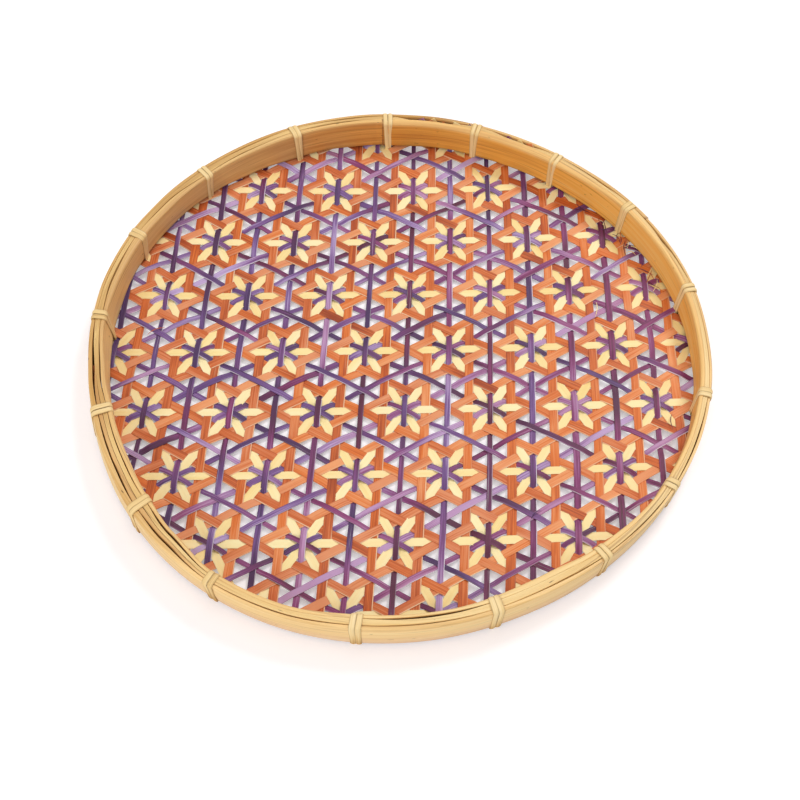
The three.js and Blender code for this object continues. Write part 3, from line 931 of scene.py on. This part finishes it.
# In turns: where the strand starts, how long it is, and where it steps over to its second turn.
STRAND_STARTS, STRAND_TURNS = 0.04, 1.92
STEPS_FROM, STEPS_TO = 0.92, 1.08
DRAWN_TOGETHER = 0.6
LOW_SHADE = 0.5
chance = random.Random(13)
for number, degrees in enumerate(BINDING_ANGLES):
    angle = math.radians(degrees)
    seed = 3.7 * number
    width = STRAND_WIDTH * chance.uniform(0.95, 1.06)
    slant = chance.uniform(-0.6, 0.6) * MM
    tone = chance.uniform(0.42, 0.66)
    bm = bmesh.new()
    map_layer = bm.loops.layers.uv.verify()
    (tone_layer,) = named_layers(bm, "tone")
    for vert in bmesh.ops.create_grid(bm, x_segments=180, y_segments=4, size=1)["verts"]:
        share, side = (vert.co.x + 1) / 2, vert.co.y
        distance = (STRAND_STARTS + STRAND_TURNS * share) * LOOP_LENGTH
        inset, height, outward = round_the_rim(distance)
        turn = share_between(distance / LOOP_LENGTH, STEPS_FROM, STEPS_TO)
        low_down = 1 - (height - UNDERSIDE) / (TOPSIDE - UNDERSIDE)
        # The turns draw together at the inner hoop's foot, where the second lies on the first.
        drawn_in = max(0.0, outward.x) * low_down
        shift = STRAND_PITCH * (1 - DRAWN_TOGETHER * drawn_in) * (turn - 0.5)
        shift += 0.25 * MM * wander(distance, seed, 0.02)
        shift += slant * (inset / RIM_DEPTH - 0.5) + side * width / 2
        lift = STRAND_OFF + STRAND_THICKNESS * (0.5 + drawn_in * turn)
        lift += STRAND_CROWN - STRAND_HOLLOW * side * side
        for loop in vert.link_loops:
            loop[map_layer].uv = (distance + seed, (side + 1) / 2)
        # Painted shade where the strand runs low on the outside of the rim.
        shaded = LOW_SHADE * (max(0.0, -outward.x) * low_down) ** 2
        vert[tone_layer] = tone + 0.1 * wander(distance, seed + 2, 0.03) - shaded
        vert.co = on_rim(angle + shift / rim_radius(angle), inset, height)
        vert.co += Vector((*(-heading(angle) * outward.x), outward.y)) * lift
    piece = strip_piece(f"binding_{number + 1:02d}", bm, strand_material, STRAND_THICKNESS)
    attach(piece, "root")
    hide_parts(f"lashing_{number + 1:02d}")


# A few fibres have split off the dyed strips. Most of them stand up at the foot of the rim,
# at the right of the back, where strips were pushed aside for the bindings.
FIBRE_WIDTH, FIBRE_THICKNESS = 0.45 * MM, 0.15 * MM
FIBRE_HEIGHT, FIBRE_ARCH = 3.9 * MM, 0.9 * MM
FIBRE_TIP = 0.35  # of a fibre's width is left at its ends
CROWDED = 0.8  # of the fibres stand at the foot of the rim
MAT_RADIUS = 161 * MM
chance = random.Random(21)
for name, material, node_slot, fibres, palest in (
    ("orange_fibres", orange_material, "orange_strip", 6, 0.4),
    ("purple_fibres", purple_material, "purple_strip", 14, 0.2),
    ("pale_fibres", cream_material, "cream_strip", 6, 0.9),
):
    bm = bmesh.new()
    map_layer = bm.loops.layers.uv.verify()
    tone_layer, hue_layer = named_layers(bm, "tone", "hue")
    for number in range(fibres):
        crowded = number < CROWDED * fibres
        angle = math.radians(chance.uniform(16, 44) if crowded else chance.uniform(0, 360))
        inset = (chance.uniform(8.5, 12) if crowded else chance.uniform(12, 110)) * MM
        ahead = heading(angle + math.radians(chance.uniform(30, 150)))
        length, bow = chance.uniform(5, 11) * MM, chance.uniform(-1.6, 1.6) * MM
        tone, hue = chance.uniform(palest - 0.6, palest), chance.random()
        middle = RIM_MIDDLE + heading(angle) * (rim_radius(angle) - inset)
        for vert in bmesh.ops.create_grid(bm, x_segments=12, y_segments=1, size=1)["verts"]:
            along, side = vert.co.x, vert.co.y
            arch = 1 - along * along
            across = side * FIBRE_WIDTH / 2 * (FIBRE_TIP + (1 - FIBRE_TIP) * arch) + bow * arch
            point = middle + ahead * along * length / 2
            point += Vector((-ahead.y, ahead.x)) * across
            sag = SAG * (1 - min(1.0, (point - RIM_MIDDLE).length / MAT_RADIUS) ** 2)
            for loop in vert.link_loops:
                loop[map_layer].uv = (along * length + number, (side + 1) / 2)
            vert.co = (*point, FIBRE_HEIGHT - sag + FIBRE_ARCH * arch)
            vert[tone_layer], vert[hue_layer] = tone, hue
    piece = strip_piece(name, bm, material, FIBRE_THICKNESS)
    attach(piece, "root")
